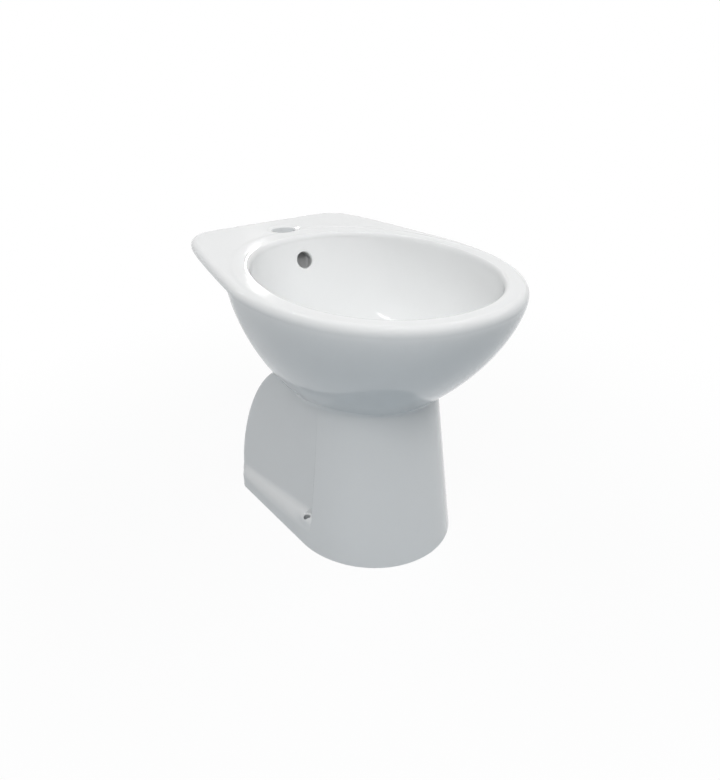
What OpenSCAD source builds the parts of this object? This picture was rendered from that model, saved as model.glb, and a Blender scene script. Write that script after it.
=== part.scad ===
// Floor standing bidet in vitreous china with a press-to-close waste.
// Millimetres. Z is up, the front is -Y, the wall is at +Y.
// The origin is on the floor, below the middle of the overall box.

/* [Overall size] */
// Height from the floor to the rim
overall_h = 400; // [385:1:415]
// Width of the rim at its widest
overall_w = 367; // [350:1:378]
// Length from the front of the rim to the back of the tap deck
overall_l = 526; // [515:1:545]

/* [Rim outline] */
// How far the widest line of the rim lies in front of the middle
rim_widest = 17; // [5:1:30]
// Roundness of the front, 2 is an ellipse and more is squarer
rim_front_n = 2.17; // [2:0.01:2.6]
// Squareness of the back corners
rim_back_n = 8.9; // [5:0.1:10]
// How much each side draws in towards the back
rim_taper = 44; // [25:1:60]
// How late that taper starts, 1 is straight
rim_taper_n = 1.17; // [1.1:0.01:1.6]
// Depth of the rim's edge
lip_h = 12; // [10:0.5:20]
// Rounding of the rim's top edge
lip_round = 5; // [4:0.5:9]
// How far the edge stands proud of the bowl
lip_step = 4.5; // [4:0.5:9]
// Thickness of the tap deck
deck_t = 12; // [10:0.5:16]

/* [Basin] */
// Width of the rim beside the basin
rim_side_band = 35.5; // [31:0.5:42]
// Width of the rim in front of the basin
rim_front_band = 31.5; // [24:0.5:36]
// Depth of the tap deck behind the basin
deck_l = 119; // [110:1:150]
// How far the widest line of the basin lies in front of the middle
basin_widest = 52; // [45:1:75]
// Roundness of the basin's opening
basin_n = 2.1; // [1.9:0.05:2.4]
// Rounding of the basin's top edge
basin_round = 8; // [5:0.5:10]
// Fullness of the basin's walls and floor
basin_full = 2.4; // [2.2:0.05:2.5]
// How upright the basin's back wall stands, 1 is a slope
basin_back_full = 1; // [0.95:0.01:1.2]
// Width of the raised ring round the basin
ring_w = 32; // [26:1:36]
// Width of the step from the ring down to the deck
ring_step = 13; // [8:1:20]
// How far the deck lies below the ring
deck_drop = 1; // [1:0.5:5]

/* [Bowl outside] */
// Roundness of the bowl's front
bowl_front_n = 2.14; // [2:0.01:2.4]
// Roundness of the bowl's back, where it is egg shaped
bowl_back_n = 1.7; // [1.55:0.01:1.8]
// Distance from the back of the tap deck to the bowl
bowl_to_back = 104; // [100:1:115]
// Fullness of the bowl's sides and front
bowl_full = 1.73; // [1.6:0.01:1.85]
// Fullness of the bowl's front, lower down
bowl_front_full = 1.34; // [1.1:0.01:1.7]
// How upright the bowl's back stands, 1 is a slope
bowl_back_full = 1.12; // [1.05:0.01:1.3]
// Rounding between the bowl and the underside of the deck
cove_r = 14; // [8:1:20]

/* [Pedestal] */
// Width of the column on the floor
column_w = 240; // [228:1:246]
// Distance from the front of the rim to the front of the column on the floor
column_setback = 98; // [86:1:104]
// How much the column narrows on each side per metre of height
column_draft = 110; // [70:1:120]
// Roundness of the column's front
column_n = 2.04; // [2:0.01:2.5]
// How much the foot widens towards the back, per metre of its length
foot_flare = 0.34; // [0.2:0.01:0.6]
// Distance from the middle to the column's widest line, to the front
column_widest = 40; // [30:1:48]
// Distance from the middle to the line where the column steps in, to the front
step_front = 54; // [48:1:70]
// Width over the side panels at the step, measured at the ledge
panel_w = 205; // [190:1:210]
// How much each panel spreads towards the back, per metre
panel_spread = 68; // [40:1:80]
// How much each panel leans in with height, per metre
panel_lean = 50; // [40:1:70]
// Distance from the middle to the back of the pedestal
pedestal_back = 164; // [155:1:178]
// Height at which the back edge of the pedestal starts to curve forward
back_curve_z = 40; // [30:1:55]
// Height over which that edge would curve forward to its end
back_curve_h = 211; // [195:1:225]
// How far it would curve forward
back_curve_l = 143; // [140:1:165]
// Roundness of that curve, 2 is an ellipse
back_curve_n = 1.7; // [1.6:0.05:2.2]
// Thickness of the pedestal's walls
wall_t = 13; // [10:0.5:15]

/* [Foot] */
// Height of the ledge beside the column
ledge_z = 52; // [42:1:54]
// How steeply the ledge falls outwards, degrees
ledge_fall = 48; // [40:1:55]
// How steeply the ledge falls towards the back, degrees
ledge_back_fall = 1; // [0:0.1:5]
// Corner radius of the foot at the back
foot_corner = 24; // [18:1:40]
// Rounding of the foot's top edge
foot_round = 7; // [4:0.5:9]
// Rounding of the pedestal's back edges
back_round = 5; // [3:0.5:6]

/* [Holes] */
// Diameter of the tap hole
tap_hole_d = 35; // [33:0.5:37]
// Distance from the tap hole to the back of the deck
tap_from_back = 65; // [58:1:82]
// Rounding of the tap hole's edge
tap_hole_round = 2.5; // [1:0.5:4]
// Diameter of the overflow hole
overflow_d = 25; // [20:0.5:28]
// How far the overflow hole lies below the rim
overflow_drop = 34; // [31:1:40]
// Diameter of the floor fixing holes
fixing_d = 10; // [8:0.5:12]
// Distance between the floor fixing holes
fixing_gap = 221; // [216:0.5:226]
// How far the fixing holes lie in front of the middle
fixing_front = 38; // [36:1:46]

/* [Overflow duct] */
// Width of the duct
duct_w = 30; // [24:1:36]
// Depth of the duct
duct_d = 10; // [8:0.5:12]
// China between the duct and the air on either side of it
duct_wall = 10; // [9:0.5:12]

/* [Waste seat] */
// Height of the waste's seat above the floor
seat_z = 207; // [203:1:212]
// How far the waste lies in front of the middle
waste_front = 15; // [5:1:25]
// Thickness of the china at the waste
boss_t = 30; // [26:1:34]
// Radius of the boss under the bowl
boss_r = 38; // [35:0.5:42]
// Diameter of the waste hole
waste_hole_d = 46; // [45:0.5:48]

/* [Waste] */
// Diameter of the flange in the basin
flange_d = 66; // [64:0.5:70]
// Thickness of the flange
flange_t = 2.5; // [2:0.1:4]
// Thickness of the ring under the flange
gasket_t = 1.5; // [1:0.1:3]
// Outside diameter of the threaded shank
shank_d = 41.9; // [41:0.1:42.4]
// Wall of the shank
shank_wall = 2.4; // [1.8:0.1:3]
// Length of the shank below the flange
shank_l = 78; // [74:1:86]
// Height of the overflow slots
slot_h = 11; // [8:0.5:13]
// Width of the overflow slots
slot_w = 12; // [8:0.5:14]
// How far the slots lie below the flange
slot_drop = 9; // [8:0.5:11]
// Width of the lock nut across its flats
nut_flats = 52; // [50:0.5:54]
// Height of the lock nut
nut_h = 9; // [7:0.5:12]
// Height of the cone gasket under the china
cone_h = 7; // [5:0.5:9]
// Thickness of the slip washer
washer_t = 2; // [1.5:0.1:3]
// Outside diameter of the tail pipe
tail_d = 32; // [30:0.5:33]
// Wall of the tail pipe
tail_wall = 1.2; // [0.8:0.1:1.6]
// Length of the tail pipe below the shank
tail_l = 62; // [50:1:75]
// Thickness of the seal on the tail pipe
tail_seal_t = 2; // [1.5:0.1:3]

/* [Plug] */
// Diameter of the cap
cap_d = 62; // [58:0.5:63]
// Height of the cap's dome
cap_rise = 5; // [3.5:0.1:7]
// Thickness of the cap's rim
cap_t = 1.8; // [1.2:0.1:2.5]
// Lift of the plug from closed to open
plug_lift = 9; // [7:0.5:10]
// Outside diameter of the sleeve
sleeve_d = 17; // [16:0.5:18]
// Wall of the sleeve
sleeve_wall = 1.8; // [1.5:0.1:2]
// Diameter of the latch post
post_d = 7.4; // [7:0.1:8]
// Diameter of the post's thread in the cross bar
stud_d = 8; // [7:0.5:9]
// Wire of the spring
wire_d = 0.8; // [0.6:0.1:0.9]
// Turns of the spring
spring_turns = 5; // [3:1:5]
// Running gap between pieces that slide
slide_gap = 0.3; // [0.2:0.05:0.4]

/* [Hidden] */
$fn = 64;
CHINA = "#e9eef0";
CHROME = "#c9cdd0";
BRASS = "#c8a75a";
RUBBER = "#26282a";
NYLON = "#dcd9cf";
STEEL = "#a8abad";

// A cut runs this far past the faces that it opens
past = 2;

// Rim: half width, reach to the front and to the back of its widest line
rim_a = overall_w / 2;
rim_y = -rim_widest;
rim_front = overall_l / 2 - rim_widest;
rim_back = overall_l / 2 + rim_widest;
back_y = overall_l / 2;
deck_under_z = overall_h - deck_drop - deck_t;
lip_under_z = overall_h - lip_h;

// Basin opening
basin_a = rim_a - rim_side_band;
basin_y = -basin_widest;
basin_front = overall_l / 2 - rim_front_band - basin_widest;
basin_back = back_y - deck_l + basin_widest;
basin_top_z = overall_h - basin_round;
waste_y = -waste_front;
basin_depth = basin_top_z - seat_z - 3;

// Bowl outside
bowl_a = rim_a - lip_step;
bowl_front = rim_front - lip_step;
bowl_back = back_y - bowl_to_back - rim_y;
boss_z = seat_z - boss_t;
bowl_bottom_z = boss_z + past;

// Pedestal
column_front_y = -overall_l / 2 + column_setback;
column_y = -column_widest;
column_reach = column_y - column_front_y;
// Depth to which the pedestal's walls are sunk into the bowl
sink = 4;
// Steps in which the height of that meeting is found
meeting_steps = 40;
// How the rim's top spreads its points: more of them beside the basin
top_bias = 2.2;

// Numbers of facets of the moulded surfaces
around = 68;
bowl_rings = 12;
basin_rings = 12;
column_facets = 16;
panel_steps = 5;
pedestal_rings = 9;

function lerp(a, b, f) = a + (b - a) * f;
function smooth(f) = let (g = min(1, max(0, f))) g * g * (3 - 2 * g);

// Radius in direction t of an egg: half a superellipse in front and another one behind
function egg_r(t, a, front, back, n_front, n_back) =
    let (b = sin(t) < 0 ? front : back)
    let (n = sin(t) < 0 ? n_front : n_back)
    pow(pow(abs(cos(t)) / a, n) + pow(abs(sin(t)) / b, n), -1 / n);

// Outline of the rim in direction t, drawn in towards the back
function rim_xy(t) =
    let (r = egg_r(t, rim_a, rim_front, rim_back, rim_front_n, rim_back_n))
    let (u = max(0, r * sin(t) / rim_back))
    [r * cos(t) * (1 - rim_taper / rim_a * pow(u, rim_taper_n)), rim_y + r * sin(t)];

// The same outline, moved in by e along its normal
function rim_in(t, e) =
    let (d = rim_xy(t + 0.5) - rim_xy(t - 0.5))
    rim_xy(t) + e * [-d.y, d.x] / norm(d);

// Edge of the basin's opening in direction t
function basin_xy(t) =
    let (r = egg_r(t, basin_a, basin_front, basin_back, basin_n, basin_n))
    [r * cos(t), basin_y + r * sin(t)];

// Top edge of the bowl's outside in direction t
function bowl_xy(t) =
    let (r = egg_r(t, bowl_a, bowl_front, bowl_back, bowl_front_n, bowl_back_n))
    [r * cos(t), rim_y + r * sin(t)];

// How much direction t belongs to the back, 0 at the sides and 1 behind
function backness(t) = smooth((sin(t) - 0.25) / 0.75);

// Fullness of the bowl's wall and of its lower part in direction t
function bowl_wall_n(t) = lerp(bowl_full, bowl_front_full, smooth(-sin(t)));
function bowl_floor_n(t) = lerp(bowl_full, bowl_back_full, backness(t));

// Width of the cove between bowl and deck in direction t: none at the sides
function cove(t) =
    let (gap = norm(rim_in(t, lip_step) - bowl_xy(t)))
    min(cove_r, gap / 2);

// Bowl outside at angle w of its profile, from 0 at the bottom to 90 at the top
function bowl_point(t, w) =
    let (p = [0, rim_y] + pow(sin(w), 2 / bowl_wall_n(t)) * (bowl_xy(t) - [0, rim_y]))
    let (top = deck_under_z - cove(t))
    [p.x, p.y, top - (top - bowl_bottom_z) * pow(cos(w), 2 / bowl_floor_n(t))];

// Cove from the bowl to the deck's underside, f from 0 to 90
function cove_point(t, f) =
    let (out = rim_in(t, lip_step) - bowl_xy(t))
    let (dir = norm(out) > 0.01 ? out / norm(out) : [0, 0])
    let (r = cove(t))
    let (p = bowl_xy(t) + dir * r * (1 - cos(f)))
    [p.x, p.y, deck_under_z - r * (1 - sin(f))];

// Edge of the rim: distance in from the outline and height, from below to the top
LIP = [
    [lip_step, lip_under_z],
    [lip_step * 0.35, lip_under_z + 1.2],
    [0, lip_under_z + 4],
    for (f = [0:22.5:90]) [lip_round * (1 - cos(f)), overall_h - lip_round * (1 - sin(f))]
];

// The rim's top falls to the deck behind the ring, at distance d from the basin
function top_fall(t, d) = deck_drop * smooth((d - ring_w) / ring_step);

// Width of the rim's top in direction t
function top_w(t) = norm(rim_in(t, lip_round) - basin_xy(t));

// Top of the rim at share q of its width, from 0 at the basin to 1 at the edge
function top_point(t, q) =
    let (w = top_w(t))
    let (near = basin_round + q * (rim_side_band - basin_round - lip_round))
    let (d = near + (w - rim_side_band + lip_round) * pow(q, top_bias))
    let (dir = (rim_in(t, lip_round) - basin_xy(t)) / w)
    let (p = basin_xy(t) + dir * d)
    [p.x, p.y, overall_h - top_fall(t, d)];

function lip_point(t, e) =
    let (p = rim_in(t, e[0]))
    let (fall = top_fall(t, norm(p - basin_xy(t))))
    [p.x, p.y, e[1] - fall * (e[1] - lip_under_z) / lip_h];

// Rounded edge into the basin, f from 90 on top to 0 on the wall
function basin_edge_point(t, f) =
    let (dir = (rim_in(t, lip_round) - basin_xy(t)) / top_w(t))
    let (p = basin_xy(t) + dir * basin_round * (1 - cos(f)))
    [p.x, p.y, overall_h - basin_round * (1 - sin(f))];

// Basin wall at angle w of its profile, from 90 at the top to 0 at the waste
function basin_point(t, w) =
    let (m = lerp(basin_full, basin_back_full, backness(t)))
    let (s = pow(sin(w), 2 / basin_full))
    let (v = pow(cos(w), 2 / m))
    let (c = [0, lerp(basin_y, waste_y, pow(v, 1.5))])
    let (p = c + s * (basin_xy(t) - [0, basin_y]))
    [p.x, p.y, basin_top_z - basin_depth * v];

function ring_at(f) = [for (i = [0:around - 1]) f(360 * i / around)];

// Two triangles for each square of a grid of points, n points in a row
function grid_faces(rows, n, closed) = [
    for (k = [0:rows - 2]) for (i = [0:n - (closed ? 1 : 2)])
        let (a = k * n + i, b = k * n + (i + 1) % n)
        each [[a, a + n, b], [b, a + n, b + n]]
];

// A closed solid over rings of points, with a pole at each end
module ringed_solid(rings, first_pole, last_pole) {
    n = len(rings[0]);
    last = (len(rings) - 1) * n;
    polyhedron(
        points = [for (ring = rings) each ring, first_pole, last_pole],
        faces = [
            each grid_faces(len(rings), n, true),
            for (i = [0:n - 1]) [i, (i + 1) % n, last + n],
            for (i = [0:n - 1]) [last + (i + 1) % n, last + i, last + n + 1]
        ]
    );
}

// A wall between an outer and an inner path, one pair of paths at each level
module walled_solid(levels) {
    n = len(levels[0][0]);
    rows = [for (level = levels) concat(level[0], [for (i = [n - 1:-1:0]) level[1][i]])];
    m = 2 * n;
    top = (len(rows) - 1) * m;
    polyhedron(
        points = [for (row = rows) each row],
        faces = [
            each grid_faces(len(rows), m, true),
            for (i = [0:n - 2])
                let (a = i, b = i + 1, c = m - 1 - i, d = m - 2 - i)
                each [[a, b, c], [b, d, c], [top + a, top + c, top + b], [top + b, top + c, top + d]]
        ]
    );
}

// Bowl, rim and tap deck as one skin, from below the bowl round to the basin's bottom
module bowl_skin() {
    rings = [
        for (k = [1:bowl_rings]) ring_at(function(t) bowl_point(t, 90 * k / bowl_rings)),
        for (f = [30, 60, 90]) ring_at(function(t) cove_point(t, f)),
        for (e = LIP) ring_at(function(t) lip_point(t, e)),
        for (k = [6:-1:1]) ring_at(function(t) top_point(t, k / 7)),
        for (f = [90:-22.5:22.5]) ring_at(function(t) basin_edge_point(t, f)),
        for (k = [basin_rings:-1:1]) ring_at(function(t) basin_point(t, 90 * k / basin_rings))
    ];
    ringed_solid(rings, [0, rim_y, bowl_bottom_z], [0, waste_y, basin_top_z - basin_depth]);
}

// Height of the bowl's outside over a point of the plan
function bowl_z(x, y) =
    let (t = atan2(y - rim_y, x))
    let (s = min(1, norm([x, y - rim_y]) / norm(bowl_xy(t) - [0, rim_y])))
    let (top = deck_under_z - cove(t))
    top - (top - bowl_bottom_z) * pow(1 - pow(s, bowl_wall_n(t)), 1 / bowl_floor_n(t));

// Half width of the column's outline at height z, and its front
function column_a(z) = column_w / 2 - column_draft * z / 1000;
function column_b(z) = column_reach - column_draft * z / 1000;

// Point of the column's outside in direction t, moved in by e
function column_xy(t, z, e) =
    let (a = column_a(z) - e)
    let (b = column_b(z) - e)
    let (r = egg_r(t, a, b, b, column_n, column_n))
    let (y = r * sin(t))
    [r * cos(t) * (1 + foot_flare * y / 1000), column_y + y];

// Outline x of the column where it meets the line y
function column_x(y, z, e) =
    let (b = column_b(z) - e)
    let (v = max(0, column_y - y) / b)
    (column_a(z) - e) * pow(1 - pow(v, column_n), 1 / column_n) * (1 + foot_flare * (y - column_y) / 1000);

// Face of the side panel, and how far back the pedestal reaches at height z
function panel_x(y, z) =
    panel_w / 2 + panel_spread * (y + step_front) / 1000 - panel_lean * (z - ledge_z) / 1000;
function back_edge_y(z) =
    let (f = min(0.97, max(0, z - back_curve_z) / back_curve_h))
    pedestal_back - back_curve_l + back_curve_l * pow(1 - pow(f, back_curve_n), 1 / back_curve_n);

// Point j of the pedestal's outside at height z, on the side +X from the front to the back
function outside_point(j, z) =
    let (end = back_edge_y(z))
    let (stop = -atan((step_front + column_y) / column_x(-step_front, z, 0)))
    let (k = j - column_facets - 1)
    j <= column_facets ? column_xy(lerp(-90, stop, j / column_facets), z, 0)
    : k < panel_steps ? let (y = lerp(-step_front, end - back_round, k / (panel_steps - 1))) [panel_x(y, z), y]
    : let (f = (k - panel_steps + 1) * 30)
      [panel_x(end, z) - back_round * (1 - cos(f)), end - back_round * (1 - sin(f))];

// The matching point inside the wall
function inside_point(j, z) =
    let (end = back_edge_y(z))
    let (y0 = -step_front - wall_t)
    let (stop = -atan((-y0 + column_y) / column_x(y0, z, wall_t)))
    let (k = j - column_facets - 1)
    j <= column_facets ? column_xy(lerp(-90, stop, j / column_facets), z, wall_t)
    : k < panel_steps ? let (y = lerp(y0, end - back_round, k / (panel_steps - 1))) [panel_x(y, z) - wall_t, y]
    : let (f = (k - panel_steps + 1) * 30)
      [panel_x(end, z) - wall_t + back_round * (1 - cos(f)), end - back_round * (1 - sin(f))];

// Height at which point j of a path meets the bowl, approached from height z in n steps
function meeting_z(path, j, z, n) =
    let (p = path(j, z))
    n == 0 ? z : meeting_z(path, j, lerp(z, bowl_z(p.x, p.y), 0.25), n - 1);

// Points of a path at share f of its height. It rises from the floor until it is sunk into the
// bowl, and its rounded back edge is as high as the panel beside it.
function path_at(path, tops, f) = [for (j = [0:len(tops) - 1])
    let (z = f * (tops[j] + sink))
    let (p = path(j, z))
    [p.x, p.y, z]
];
function tops_of(path, count) = [for (j = [0:count])
    meeting_z(path, min(j, count - 3), seat_z, meeting_steps)
];
function mirrored(p) = [-p.x, p.y, p.z];

// Hollow pedestal: column in front, stepped side panels, open at the bottom and at the back
module pedestal_wall() {
    count = column_facets + panel_steps + 3;
    outside = function(j, z) outside_point(j, z);
    inside = function(j, z) inside_point(j, z);
    outside_tops = tops_of(outside, count);
    inside_tops = tops_of(inside, count);
    levels = [for (k = [0:pedestal_rings])
        let (out = path_at(outside, outside_tops, k / pedestal_rings))
        let (in = path_at(inside, inside_tops, k / pedestal_rings))
        [
            concat([for (j = [count:-1:1]) mirrored(out[j])], out),
            concat([for (j = [count:-1:1]) mirrored(in[j])], in)
        ]
    ];
    walled_solid(levels);
}

// Height of the ledge's plane over a point beside the panel
function ledge_at(x, y) =
    ledge_z - tan(ledge_fall) * (x - panel_w / 2) - tan(ledge_back_fall) * (y + step_front);

// Outside of the foot on the floor, rounded at the back, never inside the panel
function foot_x(y) =
    let (line = column_w / 2 * (1 + foot_flare * (y - column_y) / 1000))
    let (d = max(0, y - (pedestal_back - foot_corner)))
    let (x = y < column_y ? column_x(y, 0, 0) : line - foot_corner + sqrt(pow(foot_corner, 2) - pow(d, 2)))
    max(x, panel_x(y, 0) - wall_t / 2 + 2);

// Cross section of the foot at y: the wall inside, the outside and the ledge on top
function foot_section(y) =
    let (x0 = panel_x(y, ledge_z) - wall_t / 2)
    let (x1 = foot_x(y))
    let (z1 = ledge_at(x1, y))
    let (lean = column_draft * z1 / 1000 * (1 - smooth((y + step_front) / 60)))
    let (x2 = x1 - lean)
    let (x3 = max(x0 + 1, x2 - foot_round))
    [
        [x0, y, 0],
        [x0, y, ledge_at(x0, y)],
        [x3, y, ledge_at(x3, y)],
        [max(x0 + 1.5, x2 - foot_round * 0.25), y, z1 - foot_round * 0.3],
        [x2, y, z1 - foot_round],
        [x1, y, 0]
    ];

// Foot beside one side panel, with its sloping ledge
module foot_wedge() {
    first = -step_front - 4;
    last = pedestal_back - 4;
    sections = [
        for (f = [0:0.125:1]) foot_section(lerp(first, pedestal_back - foot_corner, f)),
        for (f = [0.2:0.2:1]) foot_section(lerp(pedestal_back - foot_corner, last, f))
    ];
    n = len(sections[0]);
    top = (len(sections) - 1) * n;
    polyhedron(
        points = [for (s = sections) each s],
        faces = [
            each grid_faces(len(sections), n, true),
            [for (i = [0:n - 1]) i],
            [for (i = [n - 1:-1:0]) top + i]
        ]
    );
}

// How far the duct's rib starts behind the basin's surface
rib_inset = 4;

// Back wall of the basin on the line of symmetry, and the duct that runs behind it
function duct_centre(w) =
    let (p = basin_point(90, w))
    let (d = (basin_point(90, w + 1) - p) / norm(basin_point(90, w + 1) - p))
    p + (duct_wall + duct_d / 2) * [0, d.z, -d.y];
DUCT_PATH = concat(
    [for (w = [80:-9:8]) duct_centre(w)],
    [[0, waste_y + waste_hole_d / 2 - 5, seat_z - 13]]
);

// A bar of rounded oblong section along the duct's path, moved away from the basin by shift and
// started above the path's first point by rise
module duct_solid(w, d, shift, rise) {
    n = 16;
    up = (DUCT_PATH[0] - DUCT_PATH[1]) / norm(DUCT_PATH[0] - DUCT_PATH[1]);
    path = concat([DUCT_PATH[0] + rise * up], DUCT_PATH);
    last = len(path) - 1;
    rings = [for (k = [0:last])
        let (ahead = path[min(last, k + 1)] - path[max(0, k - 1)])
        let (side = [0, ahead.z, -ahead.y] / norm(ahead))
        [for (i = [0:n - 1])
            let (t = 360 * i / n)
            let (r = egg_r(t, w / 2, d / 2, d / 2, 4, 4))
            path[k] + [r * cos(t), 0, 0] + side * (r * sin(t) - shift)]
    ];
    ringed_solid(rings, path[0], path[last]);
}

overflow_z = overall_h - overflow_drop;
// Angle of the basin's profile at the overflow hole
overflow_w = acos(pow((basin_top_z - overflow_z) / basin_depth, basin_back_full / 2));

module overflow_hole() {
    p = basin_point(90, overflow_w);
    d = basin_point(90, overflow_w + 1) - p;
    translate(p)
        rotate([atan2(d.z, d.y), 0, 0])
            translate([0, 0, -duct_wall - duct_d / 2])
                cylinder(d = overflow_d, h = duct_wall + duct_d / 2 + 8);
}

// Hole through the deck for the tap, with a rounded edge on top
module tap_hole() {
    translate([0, back_y - tap_from_back, 0]) {
        top = overall_h - deck_drop;
        translate([0, 0, deck_under_z - past]) cylinder(d = tap_hole_d, h = deck_t + 2 * past);
        translate([0, 0, top - tap_hole_round])
            cylinder(d1 = tap_hole_d, d2 = tap_hole_d + 2 * tap_hole_round + 0.02, h = tap_hole_round + 0.01);
    }
}

module waste_seat() {
    translate([0, waste_y, boss_z - past]) cylinder(d = waste_hole_d, h = boss_t + 2 * past + 10);
    translate([0, waste_y, seat_z]) cylinder(r = flange_d / 2 + 1.5, h = 30);
}

module fixing_holes() {
    for (side = [-1, 1])
        translate([side * fixing_gap / 2, -fixing_front, -past])
            cylinder(d = fixing_d, h = ledge_z + 20);
}

module ceramic_body() color(CHINA) {
    difference() {
        union() {
            bowl_skin();
            pedestal_wall();
            for (side = [0, 1]) mirror([side, 0, 0]) foot_wedge();
            duct_solid(duct_w + 2 * duct_wall, duct_d + 2 * duct_wall - rib_inset, rib_inset / 2, deck_t);
            translate([0, waste_y, boss_z]) cylinder(r = boss_r, h = boss_t - 5);
        }
        duct_solid(duct_w, duct_d, 0, 1);
        overflow_hole();
        tap_hole();
        waste_seat();
        fixing_holes();
    }
}

// Waste: heights of its faces, from the flange down
flange_under = seat_z + gasket_t;
flange_top = flange_under + flange_t;
shank_r = shank_d / 2;
shank_in = shank_r - shank_wall;
shank_end = flange_under - shank_l;
socket_l = 14;
shoulder_h = 3;
shoulder_r = shank_in - 1.6;
slot_under = flange_under - slot_drop - slot_h;
bar_h = 6;
bar_w = 4;
bar_top = slot_under - 4;
hub_r = stud_d / 2 + 3;
throat_r = shank_in + 4.5;
nut_top = boss_z - cone_h - washer_t;
washer_r = waste_hole_d / 2 + 7;
thread_gap = 0.2;

// Plug: heights from the cross bar up
collar_h = plug_lift + 3;
collar_r = sleeve_d / 2 - sleeve_wall - slide_gap;
plate_t = 3;
seal_t = 2.5;
seal_under = flange_top + slide_gap;
cap_under = seal_under + seal_t;
sleeve_top = flange_top - 3;
plate_under = sleeve_top - plate_t;
stub_r = 3;
stub_h = 4;
boss_cap_r = 6;

module at_waste() translate([0, waste_y, 0]) children();

// Flange, throat and slotted shank, with the cross bar that carries the latch
module waste_body() color(CHROME) at_waste() {
    difference() {
        rotate_extrude()
            polygon([
                [shank_r, shank_end], [shank_r, flange_under], [flange_d / 2 - 0.6, flange_under],
                [flange_d / 2, flange_under + 0.6], [flange_d / 2 - 1.5, flange_top - 0.3],
                [flange_d / 2 - 3, flange_top], [throat_r, flange_top],
                [shank_in, flange_top - 4.5], [shank_in, shank_end + socket_l + shoulder_h],
                [shoulder_r, shank_end + socket_l + shoulder_h], [shoulder_r, shank_end + socket_l],
                [shank_in, shank_end + socket_l], [shank_in, shank_end]
            ]);
        for (turn = [45, 135])
            rotate([0, 0, turn])
                translate([-slot_w / 2, -shank_d, slot_under]) cube([slot_w, 2 * shank_d, slot_h]);
    }
    difference() {
        union() {
            for (turn = [0, 90])
                rotate([0, 0, turn])
                    translate([-bar_w / 2, -shank_in - 0.5, bar_top - bar_h])
                        cube([bar_w, 2 * shank_in + 1, bar_h]);
            translate([0, 0, bar_top - bar_h]) cylinder(r = hub_r, h = bar_h);
        }
        translate([0, 0, bar_top - bar_h - 1]) cylinder(d = stud_d + 2 * thread_gap, h = bar_h + 2);
    }
}

module washer_ring(r_in, r_out, z, h) {
    translate([0, 0, z])
        difference() {
            cylinder(r = r_out, h = h);
            translate([0, 0, -1]) cylinder(r = r_in, h = h + 2);
        }
}

module flange_gasket() color(RUBBER) at_waste()
    washer_ring(shank_r + slide_gap, flange_d / 2 - 1.5, seat_z, gasket_t);

// Tapered ring whose nose centres the shank in the hole
module cone_gasket() color(RUBBER) at_waste()
    rotate_extrude()
        polygon([
            [shank_r + slide_gap, boss_z - cone_h], [washer_r - 1, boss_z - cone_h],
            [washer_r, boss_z - cone_h + 1], [washer_r, boss_z],
            [waste_hole_d / 2 - slide_gap, boss_z],
            [waste_hole_d / 2 - 1, boss_z + 4], [shank_r + slide_gap, boss_z + 4]
        ]);

module slip_washer() color(NYLON) at_waste()
    washer_ring(shank_r + slide_gap, washer_r, nut_top, washer_t);

// Hexagon nut with both edges chamfered
module lock_nut() color(BRASS) at_waste()
    difference() {
        intersection() {
            translate([0, 0, nut_top - nut_h]) cylinder(d = nut_flats / cos(30), h = nut_h, $fn = 6);
            rotate_extrude()
                polygon([
                    [0, nut_top - nut_h], [nut_flats / 2, nut_top - nut_h],
                    [nut_flats / 2 + 4, nut_top - nut_h + 2], [nut_flats / 2 + 4, nut_top - 2],
                    [nut_flats / 2, nut_top], [0, nut_top]
                ]);
        }
        translate([0, 0, nut_top - nut_h - 1]) cylinder(r = shank_r + thread_gap, h = nut_h + 2);
    }

module tail_seal() color(RUBBER) at_waste()
    washer_ring(tail_d / 2 - tail_wall, shank_in - slide_gap, shank_end + socket_l - tail_seal_t, tail_seal_t);

// Tail pipe with the collar that screws into the shank
module tail_pipe() color(CHROME) at_waste()
    rotate_extrude()
        polygon([
            [tail_d / 2 - tail_wall, shank_end - tail_l], [tail_d / 2, shank_end - tail_l],
            [tail_d / 2, shank_end - 5], [shank_r - 1, shank_end - 5],
            [shank_r - 1, shank_end - slide_gap], [shank_in - thread_gap, shank_end - slide_gap],
            [shank_in - thread_gap, shank_end + socket_l - tail_seal_t],
            [tail_d / 2 - tail_wall, shank_end + socket_l - tail_seal_t]
        ]);

// Post of the latch: stud in the cross bar, collar for the sleeve, post for the spring
module latch_core() color(NYLON) at_waste() {
    translate([0, 0, bar_top - bar_h - 3]) cylinder(d = stud_d, h = bar_h + 3);
    translate([0, 0, bar_top]) cylinder(r = collar_r, h = collar_h);
    translate([0, 0, bar_top]) cylinder(d = post_d, h = plate_under - bar_top - slide_gap);
}

// Spring round the post, one unbroken wire
module plug_spring() color(STEEL) at_waste() {
    sides = 6;
    per_turn = 12;
    r = (post_d / 2 + sleeve_d / 2 - sleeve_wall) / 2;
    z0 = bar_top + collar_h + wire_d / 2 + 0.1;
    z1 = plate_under - wire_d / 2 - 0.1;
    count = spring_turns * per_turn;
    ringed_solid(
        [for (k = [0:count]) let (t = 360 * k / per_turn)
            [for (i = [0:sides - 1]) let (f = 360 * i / sides, q = r - wire_d / 2 * cos(f))
                [q * cos(t), q * sin(t), lerp(z0, z1, k / count) + wire_d / 2 * sin(f)]]],
        [r, 0, z0], [r * cos(360 * spring_turns), r * sin(360 * spring_turns), z1]
    );
}

// Sleeve that slides on the collar, with a stub that screws into the cap
module plug_sleeve() color(NYLON) at_waste() {
    difference() {
        translate([0, 0, bar_top + slide_gap]) cylinder(d = sleeve_d, h = sleeve_top - bar_top - slide_gap);
        translate([0, 0, bar_top - 1]) cylinder(r = sleeve_d / 2 - sleeve_wall, h = plate_under - bar_top + 1);
    }
    translate([0, 0, sleeve_top - 0.5]) cylinder(r = stub_r, h = stub_h + 0.5);
}

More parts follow.
